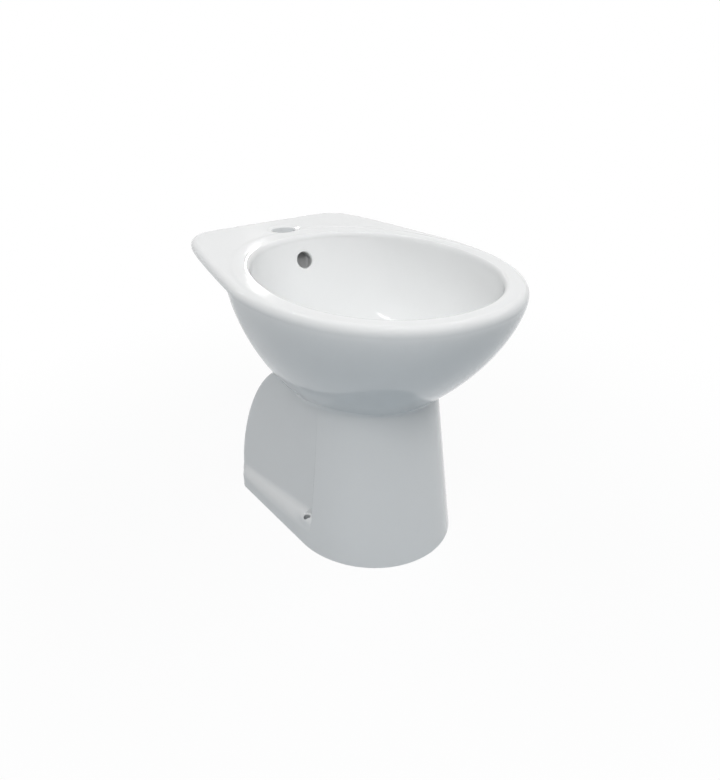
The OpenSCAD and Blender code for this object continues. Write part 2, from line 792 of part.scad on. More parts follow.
module plug_seal() color(RUBBER) at_waste()
    washer_ring(throat_r - 3, throat_r + 2, seal_under, seal_t);

// Domed cap, with a lip round the seal and a boss for the sleeve
module plug_cap() color(CHROME) at_waste()
    difference() {
        rotate_extrude()
            polygon([
                [0, sleeve_top], [boss_cap_r, sleeve_top], [boss_cap_r, cap_under],
                [throat_r + 2 + slide_gap, cap_under], [throat_r + 2 + slide_gap, cap_under - 1.2],
                [throat_r + 3.5, cap_under - 1.2], [cap_d / 2 - 1.5, cap_under - 1.2],
                [cap_d / 2, cap_under - 0.4], [cap_d / 2, cap_under - 1.2 + cap_t],
                for (f = [75:-7.5:0]) [cap_d / 2 * sin(f), cap_under - 1.2 + cap_t + cap_rise * cos(f)]
            ]);
        translate([0, 0, sleeve_top - 1]) cylinder(r = stub_r + thread_gap, h = stub_h + 1.5);
    }

ceramic_body();
waste_body();
flange_gasket();
cone_gasket();
slip_washer();
lock_nut();
tail_pipe();
tail_seal();
latch_core();
plug_spring();
plug_sleeve();
plug_seal();
plug_cap();
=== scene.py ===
"""Floor standing bidet in glazed china, with its press-to-close waste, in a pale studio."""

import math

import bmesh
import bpy
import numpy as np
from mathutils import Matrix, Vector


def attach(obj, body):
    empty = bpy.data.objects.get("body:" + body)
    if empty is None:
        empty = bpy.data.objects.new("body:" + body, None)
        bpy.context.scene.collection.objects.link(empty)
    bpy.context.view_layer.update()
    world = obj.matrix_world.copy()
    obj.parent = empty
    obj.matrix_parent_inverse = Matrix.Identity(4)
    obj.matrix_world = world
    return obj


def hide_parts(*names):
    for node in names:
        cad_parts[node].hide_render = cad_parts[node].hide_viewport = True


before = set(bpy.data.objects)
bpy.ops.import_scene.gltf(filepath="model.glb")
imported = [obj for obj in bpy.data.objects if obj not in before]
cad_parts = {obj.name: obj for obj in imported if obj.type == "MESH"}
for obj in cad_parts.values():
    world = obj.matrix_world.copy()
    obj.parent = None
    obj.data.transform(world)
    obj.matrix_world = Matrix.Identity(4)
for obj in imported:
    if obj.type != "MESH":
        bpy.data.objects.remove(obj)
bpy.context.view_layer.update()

MM = 0.001

# Sizes of the china body in millimetres, the same as the solids have, except for the rim's edge,
# which is rounder here and runs into the bowl without a step, and the ledge, whose slope changes
# along the foot. The front is -Y, the wall is at +Y, and Z is up. A name that ends in _N or _FULL
# is the power of a superellipse or of another curve, COLUMN_DRAFT, PANEL_SPREAD and PANEL_LEAN are
# slopes, FOOT_FLARE is a share per millimetre, and a _FALL is in degrees.

HEIGHT = 400.0
WIDTH = 367.0
LENGTH = 526.0

# Rim and its edge
RIM_WIDEST = 17.0
RIM_FRONT_N = 2.17
RIM_BACK_N = 8.9
RIM_TAPER = 44.0
RIM_TAPER_N = 1.17
LIP_H = 12.0
LIP_ROUND = 10.0
LIP_UNDER_ROUND = 2.0
LIP_STEP = 0.3
DECK_T = 12.0

# Basin, the ring round it and the deck; the basin's floor lies a little over the waste's seat
SIDE_BAND = 35.5
FRONT_BAND = 31.5
DECK_L = 119.0
BASIN_WIDEST = 52.0
BASIN_N = 2.1
BASIN_ROUND = 8.0
BASIN_FULL = 2.4
BASIN_BACK_FULL = 1.0
BASIN_SHIFT_N = 1.5
BASIN_OVER_SEAT = 3.0
RING_W = 32.0
RING_STEP = 13.0
RING_SPREAD_N = 1.6
DECK_DROP = 1.0

# Bowl's outside, which runs into the boss below; its back begins where the sine of the direction
# passes BACK_START
BACK_START = 0.25
BOWL_BACK_N = 1.7
BOWL_TO_BACK = 104.0
BOWL_FULL = 1.42
BOWL_SIDE_FULL = 1.86
BOWL_FRONT_FULL = 1.56
BOWL_BACK_FULL = 1.12
COVE_R = 14.0
COVE_LEAST = 1.0
BOWL_OVER_BOSS = 2.0

# Column and pedestal
COLUMN_W = 240.0
COLUMN_SETBACK = 98.0
COLUMN_DRAFT = 0.110
COLUMN_N = 2.04
FOOT_FLARE = 0.00034
COLUMN_WIDEST = 40.0
STEP_FRONT = 54.0
PANEL_W = 205.0
PANEL_SPREAD = 0.068
PANEL_LEAN = 0.050
PEDESTAL_BACK = 164.0
BACK_CURVE_Z = 40.0
BACK_CURVE_H = 211.0
BACK_CURVE_L = 143.0
BACK_CURVE_N = 1.7
BACK_CURVE_END = 0.97
WALL_T = 13.0

# Ledge, foot and the blends between the pedestal's faces. The ledge's fall changes from the first
# value to the second over LEDGE_L, and the foot's lean goes to nothing over FOOT_LEAN_L. The round
# of the seam shrinks from the foot's to the panel's between the heights SEAM_CHANGE, and it and
# its fillet take at most the share SEAM_SHARE of the step. The crease's fillet lands on the bowl
# at the share CREASE_REACH of its size and ends a hair above it.
LEDGE_Z = 51.7
LEDGE_FALL = (50.0, 42.0)
LEDGE_L = 200.0
LEDGE_BACK_FALL = 5.55
LEDGE_EDGE_BLEND = 9.0
LEDGE_PANEL_BLEND = 5.0
FOOT_CORNER = 24.0
FOOT_LEAN_L = 60.0
BACK_ROUND = 5.0
SEAM_ROUND = 2.5
SEAM_FOOT_ROUND = 7.0
SEAM_CHANGE = (30.0, 60.0)
SEAM_FILLET = 3.0
SEAM_SHARE = 0.45
CREASE_FILLET = 7.0
CREASE_REACH = 0.9
CREASE_LIFT = 0.05
SINK = 4.0

# Holes, each with its rounded edge and the level seat round it. The tap's seat ends in a bevel,
# whose inner edge has the share TAP_SEAT_SHARE of the depth. Glaze reaches FIXING_MOUTH deep. The
# cutters get wider above the surface by HOLE_FLARE and TAP_SEAT_FLARE.
TAP_HOLE_D = 35.0
TAP_FROM_BACK = 65.0
TAP_HOLE_ROUND = 2.5
TAP_SEAT = 0.6
TAP_SEAT_R = 24.5
TAP_SEAT_EDGE = 1.5
TAP_SEAT_SHARE = 0.8
TAP_SEAT_FLARE = 1.0
OVERFLOW_D = 25.0
OVERFLOW_DROP = 34.0
OVERFLOW_ROUND = 1.5
OVERFLOW_ABOVE = 8.0
FIXING_D = 10.0
FIXING_GAP = 221.0
FIXING_FRONT = 38.0
FIXING_ROUND = 2.0
FIXING_SEAT = 1.0
FIXING_MOUTH = 2.5
FIXING_PAD = 9.0
FIXING_PAD_REACH = (8.0, 4.5)
HOLE_FLARE = 0.6
# How far cutters run past the far side and above the near one, and overlap each other
WASTE_PAST = 30.0
TAP_PAST = 40.0
FIXING_PAST = 20.0
ABOVE = 12.0
OVERLAP = 0.1

# Overflow duct and the rib round it: angles of the basin's profile that the duct passes, the power
# of its section, its end, inside the waste's hole and below the seat, how far its cutter starts
# above the first of the angles, and the heights between which the waste's hole cuts the rib
DUCT_W = 30.0
DUCT_D = 10.0
DUCT_WALL = 10.0
DUCT_ANGLES = (80, 71, 62, 53, 44, 35, 26, 17, 8)
DUCT_N = 4
DUCT_INTO_WASTE = 5
DUCT_END = 13
DUCT_RISE = 1
RIB_INSET = 4.0
RIB_HOLE_Z = (150.0, 230.0)

# Seat of the waste, its boss, and the recess over it as steps outwards and upwards from the seat
SEAT_Z = 207.0
WASTE_FRONT = 15.0
BOSS_T = 30.0
BOSS_R = 38.0
BOSS_BELOW_SEAT = 5.0
BOSS_BEVEL = 2.0
WASTE_HOLE_D = 46.0
RECESS_R = 34.5
RECESS_STEPS = ((0, 0), (0, 2), (1.0, 4.5), (3.5, 7), (8, 9.5), (20, 14), (20, 60))

# What follows from the sizes
RIM_A = WIDTH / 2
RIM_Y = -RIM_WIDEST
RIM_FRONT = LENGTH / 2 - RIM_WIDEST
RIM_BACK = LENGTH / 2 + RIM_WIDEST
BACK_Y = LENGTH / 2
DECK_UNDER = HEIGHT - DECK_DROP - DECK_T
LIP_UNDER = HEIGHT - LIP_H
BASIN_A = RIM_A - SIDE_BAND
BASIN_Y = -BASIN_WIDEST
BASIN_FRONT = LENGTH / 2 - FRONT_BAND - BASIN_WIDEST
BASIN_BACK = BACK_Y - DECK_L + BASIN_WIDEST
BASIN_TOP = HEIGHT - BASIN_ROUND
WASTE_Y = -WASTE_FRONT
BASIN_DEPTH = BASIN_TOP - SEAT_Z - BASIN_OVER_SEAT
BOWL_A = RIM_A - LIP_STEP
BOWL_FRONT = RIM_FRONT - LIP_STEP
BOWL_BACK = BACK_Y - BOWL_TO_BACK - RIM_Y
BOSS_Z = SEAT_Z - BOSS_T
BOWL_BOTTOM = BOSS_Z + BOWL_OVER_BOSS
COLUMN_Y = -COLUMN_WIDEST
COLUMN_REACH = COLUMN_Y + LENGTH / 2 - COLUMN_SETBACK

# How finely the china's surfaces are divided: places round the rim and along the pedestal's
# outline, and rows of each surface. The pedestal's rows are close over the ledge.
AROUND = 288
COLUMN_PLACES = 46
BLEND_PLACES = 7
SIDE_PLACES = 44
SIDE_BUNCHING = 0.16
BOWL_ROWS = 52
TOP_ROWS = 30
BASIN_ROWS = 60
PANEL_ROWS = 22
CREASE_ROWS = 10
FOOT_HEIGHTS = np.linspace(0, 16, 9)
LEDGE_HEIGHTS = np.linspace(17.5, 62.0, 36)
MEETING_STEPS = 60
MEETING_SHARE = 0.2
CREASE_SMOOTHING = 3
WELD = 0.002
TURNED_PLACES = 96
FIXING_PLACES = 48
DUCT_PLACES = 48
SHARP_ANGLE = 38.0

# Heights among which the ledge's is looked up, and the turns over which tangents are taken
LEDGE_SEARCH = np.linspace(20, 60, 401)
RIM_TURN = math.radians(0.5)
WALL_TURN = math.radians(1)

# Angles in degrees at which the small quarter circles are divided
COVE_ANGLES = (12, 25, 38, 51, 64, 77, 90)
LIP_UNDER_ANGLES = (0, 30, 60)
LIP_ANGLES = (0, 9, 18, 27, 36, 45, 54, 63, 72, 82)
BASIN_EDGE_ANGLES = (80, 70, 60, 50, 40, 30, 20, 10)
BACK_ANGLES = (15, 30, 45, 60, 75, 90)
HOLE_EDGE_ANGLES = (0, 15, 30, 45, 60, 75, 88)


# Shapes of the china


def smooth(f):
    """Smooth step: f squared times (3 - 2 f), with f held between 0 and 1."""
    f = np.clip(f, 0.0, 1.0)
    return f * f * (3 - 2 * f)


def lerp(a, b, f):
    """Straight mix of a and b by f."""
    return a + (b - a) * f


def soft_least(a, b, k):
    """Least of a and b, rounded over the width k: a quadratic blend where they are within k."""
    h = np.clip(0.5 + 0.5 * (b - a) / k, 0.0, 1.0)
    return lerp(b, a, h) - k * h * (1 - h)


def soft_most(a, b, k):
    """Greatest of a and b, rounded over the width k."""
    return -soft_least(-a, -b, k)


def egg(t, half_width, front, back, front_n, back_n):
    """Radius of an egg in direction t: 1 over the n-th root of |cos t / a|^n + |sin t / b|^n,
    with its own reach b and power n in front and behind."""
    reach = np.where(np.sin(t) < 0, front, back)
    n = np.where(np.sin(t) < 0, front_n, back_n)
    return (np.abs(np.cos(t) / half_width) ** n + np.abs(np.sin(t) / reach) ** n) ** (-1 / n)


def rim_outline(t):
    """Outline of the rim: an egg whose half width shrinks with a power of the way to the back."""
    r = egg(t, RIM_A, RIM_FRONT, RIM_BACK, RIM_FRONT_N, RIM_BACK_N)
    u = np.maximum(0.0, r * np.sin(t) / RIM_BACK)
    x = r * np.cos(t) * (1 - RIM_TAPER / RIM_A * u**RIM_TAPER_N)
    return np.stack([x, RIM_Y + r * np.sin(t)], -1)


def rim_inset(t, e):
    """Outline of the rim moved in by e along its normal, which is the turned tangent."""
    d = rim_outline(t + RIM_TURN) - rim_outline(t - RIM_TURN)
    d = d / np.linalg.norm(d, axis=-1, keepdims=True)
    return rim_outline(t) + np.asarray(e)[..., None] * np.stack([-d[..., 1], d[..., 0]], -1)


def basin_outline(t):
    """Edge of the basin's opening: an egg round its own widest line."""
    r = egg(t, BASIN_A, BASIN_FRONT, BASIN_BACK, BASIN_N, BASIN_N)
    return np.stack([r * np.cos(t), BASIN_Y + r * np.sin(t)], -1)


def bowl_outline(t):
    """Top edge of the bowl's outside: an egg inside the rim, cut short behind."""
    r = egg(t, BOWL_A, BOWL_FRONT, BOWL_BACK, RIM_FRONT_N, BOWL_BACK_N)
    return np.stack([r * np.cos(t), RIM_Y + r * np.sin(t)], -1)


def backness(t):
    """0 at the sides and the front, 1 straight behind."""
    return smooth((np.sin(t) - BACK_START) / (1 - BACK_START))


def bowl_wall_n(t):
    """Power of the bowl's profile at its wall."""
    return lerp(BOWL_SIDE_FULL, BOWL_FRONT_FULL, smooth(-np.sin(t)))


def bowl_floor_n(t):
    """Power of the bowl's profile at its floor."""
    return lerp(BOWL_FULL, BOWL_BACK_FULL, backness(t))


def overhang(t):
    """How far the rim stands out over the bowl: a hand's breadth behind, next to nothing at the
    sides and in front, where one surface runs into the other."""
    return np.linalg.norm(rim_outline(t) - bowl_outline(t), axis=-1)


def cove_w(t):
    """Width of the cove between the bowl and the rim's underside."""
    return np.minimum(COVE_R, overhang(t) / 2)


def cove_r(t):
    """Height of that cove, which stays as a soft bend where the width goes to nothing."""
    return np.maximum(COVE_LEAST, cove_w(t))


def bowl_height(x, y):
    """Height of the bowl's outside over a point of the plan: with s the share of the way from
    the axis to the outline, it is the top less the depth times (1 - s^n)^(1/m)."""
    t = np.arctan2(y - RIM_Y, x)
    edge = bowl_outline(t) - np.array([0.0, RIM_Y])
    s = np.minimum(1.0, np.hypot(x, y - RIM_Y) / np.linalg.norm(edge, axis=-1))
    top = DECK_UNDER - cove_r(t)
    return top - (top - BOWL_BOTTOM) * (1 - s ** bowl_wall_n(t)) ** (1 / bowl_floor_n(t))


def bowl_rows(t):
    """Outside of the bowl, row by row from its bottom to the deck's underside. Its profile has
    s = sin(w)^(2/n) outwards and (1 - depth share) with cos(w)^(2/m) upwards; then the cove is a
    quarter circle."""
    rows = []
    axis = np.array([0.0, RIM_Y])
    edge = bowl_outline(t)
    top = DECK_UNDER - cove_r(t)
    for w in np.linspace(0, math.pi / 2, BOWL_ROWS + 1)[1:]:
        plan = axis + (math.sin(w) ** (2 / bowl_wall_n(t)))[:, None] * (edge - axis)
        z = top - (top - BOWL_BOTTOM) * abs(math.cos(w)) ** (2 / bowl_floor_n(t))
        rows.append(np.column_stack([plan, z]))
    out = rim_outline(t) - edge
    out = out / np.linalg.norm(out, axis=-1, keepdims=True)
    for f in np.radians(COVE_ANGLES):
        plan = edge + out * (cove_w(t) * (1 - math.cos(f)))[:, None]
        rows.append(np.column_stack([plan, DECK_UNDER - cove_r(t) * (1 - math.sin(f))]))
    return rows


def top_fall(d):
    """Fall of the rim's top at distance d from the basin: a smooth step behind the ring."""
    return DECK_DROP * smooth((d - RING_W) / RING_STEP)


def lip_rows(t):
    """Edge of the rim: a small quarter circle below, no wider than the overhang allows, and a
    large one on top, both set in from the outline."""
    least = np.minimum(LIP_UNDER_ROUND, overhang(t) / 2)
    under = [
        (least * (1 - math.sin(f)), LIP_UNDER + LIP_UNDER_ROUND * (1 - math.cos(f)))
        for f in np.radians(LIP_UNDER_ANGLES)
    ]
    upper = [
        (LIP_ROUND * (1 - math.cos(f)), HEIGHT - LIP_ROUND * (1 - math.sin(f)))
        for f in np.radians(LIP_ANGLES)
    ]
    rows = []
    inner = basin_outline(t)
    for e, z in under + upper:
        plan = rim_inset(t, e)
        fall = top_fall(np.linalg.norm(plan - inner, axis=-1))
        rows.append(np.column_stack([plan, z - fall * (z - LIP_UNDER) / LIP_H]))
    return rows


def top_rows(t):
    """Top of the rim from its edge to the basin: points between the two outlines, closer
    together near the basin, lowered by the fall to the deck."""
    inner, outer = basin_outline(t), rim_inset(t, LIP_ROUND)
    width = np.linalg.norm(outer - inner, axis=-1)
    along = (outer - inner) / width[:, None]
    band = SIDE_BAND - LIP_ROUND
    rows = []
    for q in np.linspace(1, 0, TOP_ROWS + 1):
        d = BASIN_ROUND + q * (band - BASIN_ROUND) + (width - band) * q**RING_SPREAD_N
        rows.append(np.column_stack([inner + along * d[:, None], HEIGHT - top_fall(d)]))
    for f in np.radians(BASIN_EDGE_ANGLES):
        d = BASIN_ROUND * (1 - math.cos(f))
        z = np.full(len(t), HEIGHT - BASIN_ROUND * (1 - math.sin(f)))
        rows.append(np.column_stack([inner + along * d, z]))
    return rows


def basin_point(t, w):
    """Inside of the basin: its outline scaled by sin(w)^(2/n) round a centre that runs from the
    basin's middle to the waste, at depth cos(w)^(2/m)."""
    m = lerp(BASIN_FULL, BASIN_BACK_FULL, backness(t))
    s = np.sin(w) ** (2 / BASIN_FULL)
    v = np.abs(np.cos(w)) ** (2 / m)
    plan = basin_outline(t) - np.array([0.0, BASIN_Y])
    y = lerp(BASIN_Y, WASTE_Y, v**BASIN_SHIFT_N) + s * plan[..., 1]
    return np.stack([s * plan[..., 0], y, BASIN_TOP - BASIN_DEPTH * v], -1)


def basin_rows(t):
    """Inside of the basin from its edge down to the waste."""
    angles = np.linspace(math.pi / 2, 0, BASIN_ROWS + 1)[:-1]
    return [basin_point(t, w) for w in angles]


def column_a(z):
    """Half width of the column at height z."""
    return COLUMN_W / 2 - COLUMN_DRAFT * z


def column_side_x(y, z):
    """Half width of the column on the line y: a superellipse that widens towards the back."""
    share = np.maximum(0.0, COLUMN_Y - y) / (COLUMN_REACH - COLUMN_DRAFT * z)
    x = column_a(z) * np.maximum(0.0, 1 - share**COLUMN_N) ** (1 / COLUMN_N)
    return x * (1 + FOOT_FLARE * (y - COLUMN_Y))


def panel_x(y, z):
    """Face of the side panel: a plane that leans in with height and spreads to the back."""
    return PANEL_W / 2 + PANEL_SPREAD * (y + STEP_FRONT) - PANEL_LEAN * (z - LEDGE_Z)


def back_edge_y(z):
    """Back edge of the pedestal: upright at the foot, then curving forward as a superellipse."""
    f = np.clip((z - BACK_CURVE_Z) / BACK_CURVE_H, 0.0, BACK_CURVE_END)
    return PEDESTAL_BACK - BACK_CURVE_L * (1 - (1 - f**BACK_CURVE_N) ** (1 / BACK_CURVE_N))


def foot_x(y, z):
    """Outside of the foot: the column's flared line, rounded off at the back corner."""
    line = COLUMN_W / 2 * (1 + FOOT_FLARE * (y - COLUMN_Y))
    d = np.maximum(0.0, y - (PEDESTAL_BACK - FOOT_CORNER))
    corner = FOOT_CORNER - np.sqrt(np.maximum(0.0, FOOT_CORNER**2 - d**2))
    lean = COLUMN_DRAFT * z * (1 - smooth((y + STEP_FRONT) / FOOT_LEAN_L))
    straight = np.where(y < COLUMN_Y, column_side_x(np.minimum(y, COLUMN_Y), 0.0), line)
    return straight - corner - lean


def pad(y, z):
    """Rise of the ledge round the fixing hole, a bell curve both ways, which makes its seat
    flatter than the slope."""
    low = LEDGE_Z - (FIXING_GAP - PANEL_W) / 2 - FIXING_PAD_REACH[1]
    along, up = (y + FIXING_FRONT) / FIXING_PAD_REACH[0], (z - low) / FIXING_PAD_REACH[1]
    return FIXING_PAD * np.exp(-(along**2 + up**2) / 2)


def side_x(y, z):
    """Side of the pedestal behind the column: the panel above, the foot below, and between them
    the ledge's slope, which flattens towards the back, each pair blended softly."""
    fall = np.radians(lerp(*LEDGE_FALL, np.clip((y + STEP_FRONT) / LEDGE_L, 0, 1)))
    height = LEDGE_Z - math.tan(math.radians(LEDGE_BACK_FALL)) * (y + STEP_FRONT)
    ledge = panel_x(y, height) + (height - z) / np.tan(fall) + pad(y, z)
    lower = soft_least(foot_x(y, z), ledge, LEDGE_EDGE_BLEND)
    return soft_most(panel_x(y, z), lower, LEDGE_PANEL_BLEND)


def curve_through(a, corner, b, n):
    """Quadratic curve from a to b with its control point at the corner, n points, ends included."""
    f = np.linspace(0, 1, n)[:, None, None]
    return (1 - f) ** 2 * a + 2 * f * (1 - f) * corner + f**2 * b


def outer_contour(z):
    """Outline of the pedestal at the heights z, on the side +X from the front to the back, as
    an array of (place, height, xy): column, rounded seam, step, fillet, side and back edge. The
    column's places lie at equal angles, so that its nose is as fine as its side, and those of
    the side are closer together behind, by a sine."""
    step_y = np.full_like(z, -STEP_FRONT)
    corner_x = column_side_x(step_y, z)
    foot_of_step = np.minimum(side_x(step_y, z), corner_x)
    step = corner_x - foot_of_step
    change = smooth((z - SEAM_CHANGE[0]) / (SEAM_CHANGE[1] - SEAM_CHANGE[0]))
    round_r = np.minimum(lerp(SEAM_FOOT_ROUND, SEAM_ROUND, change), SEAM_SHARE * step)
    fillet_r = np.minimum(SEAM_FILLET, SEAM_SHARE * step)
    front_y = COLUMN_Y - (COLUMN_REACH - COLUMN_DRAFT * z)
    last = -STEP_FRONT - round_r
    reach_angle = np.arccos(np.clip((COLUMN_Y - last) / (COLUMN_Y - front_y), -1, 1))
    angle = np.linspace(0, 1, COLUMN_PLACES)[:, None] * reach_angle
    y = COLUMN_Y - (COLUMN_Y - front_y) * np.cos(angle)
    column = np.stack([column_side_x(y, z + 0 * y), y], -1)
    seam = curve_through(
        column[-1],
        np.stack([corner_x, step_y], -1),
        np.stack([corner_x - round_r, step_y], -1),
        BLEND_PLACES,
    )[1:]
    fillet_end = step_y + fillet_r
    fillet = curve_through(
        np.stack([np.minimum(foot_of_step + fillet_r, corner_x), step_y], -1),
        np.stack([foot_of_step, step_y], -1),
        np.stack([side_x(fillet_end, z), fillet_end], -1),
        BLEND_PLACES,
    )
    end = back_edge_y(z)
    f = np.linspace(0, 1, SIDE_PLACES)[1:, None]
    f = f + SIDE_BUNCHING * np.sin(math.pi * f)
    y = lerp(fillet_end, end - BACK_ROUND, f)
    side = np.stack([side_x(y, z + 0 * y), y], -1)
    turn = np.radians(BACK_ANGLES)[:, None]
    y = end - BACK_ROUND * (1 - np.sin(turn))
    x = side_x(end - BACK_ROUND, z) - BACK_ROUND * (1 - np.cos(turn))
    back = np.stack([x, y], -1)
    return np.concatenate([column, seam, fillet, side, back])


def inner_contour(z):
    """Inside of the pedestal's wall, point for point beside the outer outline: the column and
    the panel moved in by the wall, with a rounded back edge."""
    step = -STEP_FRONT - WALL_T
    front_y = COLUMN_Y - (COLUMN_REACH - COLUMN_DRAFT * z) + WALL_T
    reach_angle = np.arccos((COLUMN_Y - step) / (COLUMN_Y - front_y))
    angle = np.linspace(0, 1, COLUMN_PLACES)[:, None] * reach_angle
    y = COLUMN_Y - (COLUMN_Y - front_y) * np.cos(angle)
    share = np.maximum(0.0, COLUMN_Y - y) / (COLUMN_Y - front_y)
    x = (column_a(z) - WALL_T) * np.maximum(0.0, 1 - share**COLUMN_N) ** (1 / COLUMN_N)
    column = np.stack([x * (1 + FOOT_FLARE * (y - COLUMN_Y)), y], -1)
    end = back_edge_y(z)
    places = 2 * (BLEND_PLACES - 1) + SIDE_PLACES
    y = lerp(step, end - BACK_ROUND, np.linspace(0, 1, places)[:, None])
    side = np.stack([panel_x(y, z) - WALL_T, y], -1)
    turn = np.radians(BACK_ANGLES)[:, None]
    y = end - BACK_ROUND * (1 - np.sin(turn))
    x = panel_x(end, z) - WALL_T + BACK_ROUND * (1 - np.cos(turn))
    return np.concatenate([column, side, np.stack([x + 0 * y, y], -1)])


def meeting_height(contour):
    """Height at which each place of a contour meets the bowl, approached from the seat's height
    in many steps, each a share of what is left. The rounded back edge keeps one height."""
    count = contour(np.full(1, SEAT_Z)).shape[0]
    heights = np.full(count, SEAT_Z)
    for _ in range(MEETING_STEPS):
        p = places_at(contour, heights)
        heights = lerp(heights, bowl_height(p[:, 0], p[:, 1]), MEETING_SHARE)
    heights[-len(BACK_ANGLES) :] = heights[-len(BACK_ANGLES) - 1]
    return heights


def places_at(contour, heights):
    """Plan point of each place j of a contour at its own height heights[j]."""
    count = len(heights)
    return contour(heights)[np.arange(count), np.arange(count)]


def at_heights(contour, heights):
    """Points of a contour where place j lies at heights[row, j]."""
    rows = [places_at(contour, row) for row in heights]
    return np.concatenate([np.array(rows), heights[..., None]], -1)


def pedestal_points():
    """The wall of the pedestal as a closed loop of places (outside forward, inside backward) by
    rows of height: close rows over the ledge, wider ones above, and on the outside a curve of
    the crease's fillet that ends on the bowl, tangent to both."""
    top = meeting_height(outer_contour)
    low = np.concatenate([FOOT_HEIGHTS, LEDGE_HEIGHTS])
    f = np.linspace(0, 1, PANEL_ROWS)[1:, None]
    upright = np.concatenate([
        np.tile(low[:, None], (1, len(top))),
        lerp(low[-1], (top - CREASE_FILLET)[None, :], f),
    ])
    out = at_heights(outer_contour, upright)
    meet = at_heights(outer_contour, top[None, :])[0]
    tangent = np.gradient(meet[:, :2], axis=0)
    normal = np.stack([tangent[:, 1], -tangent[:, 0]], -1)
    normal = normal / np.linalg.norm(normal, axis=-1, keepdims=True)
    for _ in range(CREASE_SMOOTHING):
        normal[1:-1] = (normal[:-2] + 2 * normal[1:-1] + normal[2:]) / 4
    landing = meet[:, :2] + CREASE_FILLET * CREASE_REACH * normal
    z = bowl_height(landing[:, 0], landing[:, 1]) + CREASE_LIFT
    landing = np.column_stack([landing, z])
    f = np.linspace(0, 1, CREASE_ROWS)[1:, None, None]
    fillet = (1 - f) ** 2 * out[-1] + 2 * f * (1 - f) * meet + f**2 * landing
    sunk = at_heights(outer_contour, (top + SINK)[None, :])
    out = np.concatenate([out, fillet, sunk])

    inner_top = meeting_height(inner_contour) + SINK
    rows = np.linspace(0, 1, len(out))[:, None]
    inside = at_heights(inner_contour, rows * inner_top[None, :])
    mirror = np.array([-1.0, 1.0, 1.0])
    whole = np.concatenate([out[:, :0:-1] * mirror, out], axis=1)
    whole_in = np.concatenate([inside[:, :0:-1] * mirror, inside], axis=1)
    return np.concatenate([whole, whole_in[:, ::-1]], axis=1)


def grid_faces(rows, columns):
    """Squares of a grid of points whose columns close into a ring."""
    i = np.arange(columns)
    k = np.arange(rows - 1)[:, None] * columns
    a, b = k + i, k + (i + 1) % columns
    return np.stack([a, b, b + columns, a + columns], -1).reshape(-1, 4)


def china_mesh(name, points, faces):
    """Mesh in metres from points in millimetres, with its faces turned outwards."""
    points = np.asarray(points, float).reshape(-1, 3) * MM
    mesh = bpy.data.meshes.new(name)
    mesh.from_pydata(points.tolist(), [], faces)
    weld(mesh)
    for finish in ("glazed_china", "bare_china_painted_shade"):
        mesh.materials.append(FINISHES[finish])
    obj = bpy.data.objects.new(name, mesh)
    bpy.context.scene.collection.objects.link(obj)
    if signed_volume(mesh) < 0:
        mesh.flip_normals()
    mesh.shade_smooth()
    return obj


def weld(mesh):
    """Merges points that lie together, and drops the faces that this leaves without area."""
    shape = bmesh.new()
    shape.from_mesh(mesh)
    bmesh.ops.remove_doubles(shape, verts=shape.verts, dist=WELD * MM)
    bmesh.ops.dissolve_degenerate(shape, edges=shape.edges, dist=WELD * MM)
    shape.to_mesh(mesh)
    shape.free()


def signed_volume(mesh):
    """Sum over triangles of one sixth of the corners' triple product."""
    mesh.calc_loop_triangles()
    co = np.empty(len(mesh.vertices) * 3)
    mesh.vertices.foreach_get("co", co)
    tri = np.empty(len(mesh.loop_triangles) * 3, dtype=np.int32)
    mesh.loop_triangles.foreach_get("vertices", tri)
    p = co.reshape(-1, 3)[tri.reshape(-1, 3)]
    return float(np.einsum("ij,ij->i", p[:, 0], np.cross(p[:, 1], p[:, 2])).sum() / 6)


def ring_solid(name, rows, first_pole, last_pole):
    """Closed solid over rings of points with a pole at each end."""
    rows = np.asarray(rows)
    count, n = rows.shape[:2]
    points = np.concatenate([rows.reshape(-1, 3), [first_pole], [last_pole]])
    faces = grid_faces(count, n).tolist()
    i = np.arange(n)
    last = (count - 1) * n
    faces += np.column_stack([(i + 1) % n, i, np.full(n, count * n)]).tolist()
    faces += np.column_stack([last + i, last + (i + 1) % n, np.full(n, count * n + 1)]).tolist()
    return china_mesh(name, points, faces)


def bowl_skin():
    """Bowl, rim, deck and basin as one closed skin."""
    t = np.linspace(0, 2 * math.pi, AROUND, endpoint=False)
    rows = bowl_rows(t) + lip_rows(t) + top_rows(t) + basin_rows(t)
    bottom = [0, WASTE_Y, BASIN_TOP - BASIN_DEPTH]
    return ring_solid("bowl_skin", rows, [0, RIM_Y, BOWL_BOTTOM], bottom)


def pedestal():
    """Wall of the pedestal, closed at the floor and inside the bowl."""
    points = pedestal_points()
    rows, n = points.shape[:2]
    faces = grid_faces(rows, n).tolist()
    i = np.arange(n // 2 - 1)
    cap = np.column_stack([i, n - 1 - i, n - 2 - i, i + 1])
    faces += cap.tolist()
    faces += (cap[:, ::-1] + (rows - 1) * n).tolist()
    return china_mesh("pedestal", points, faces)


def turned_rows(profile, n):
    """Rings of n points round Z, one for each (radius, height) of the profile."""
    t = np.linspace(0, 2 * math.pi, n, endpoint=False)
    ring = np.stack([np.cos(t), np.sin(t)], -1)
    return np.array([np.column_stack([ring * r, np.full(n, z)]) for r, z in profile])


def turned(name, profile, n=TURNED_PLACES):
    """Solid of revolution over a profile, with a pole at each end."""
    first = [0, 0, profile[0][1]]
    last = [0, 0, profile[-1][1]]
    return ring_solid(name, turned_rows(profile, n), first, last)


def washer(name, profile):
    """Ring of revolution over a closed profile."""
    rows = turned_rows(profile, TURNED_PLACES)
    faces = grid_faces(len(rows) + 1, TURNED_PLACES) % (len(rows) * TURNED_PLACES)
    return china_mesh(name, rows, faces.tolist())


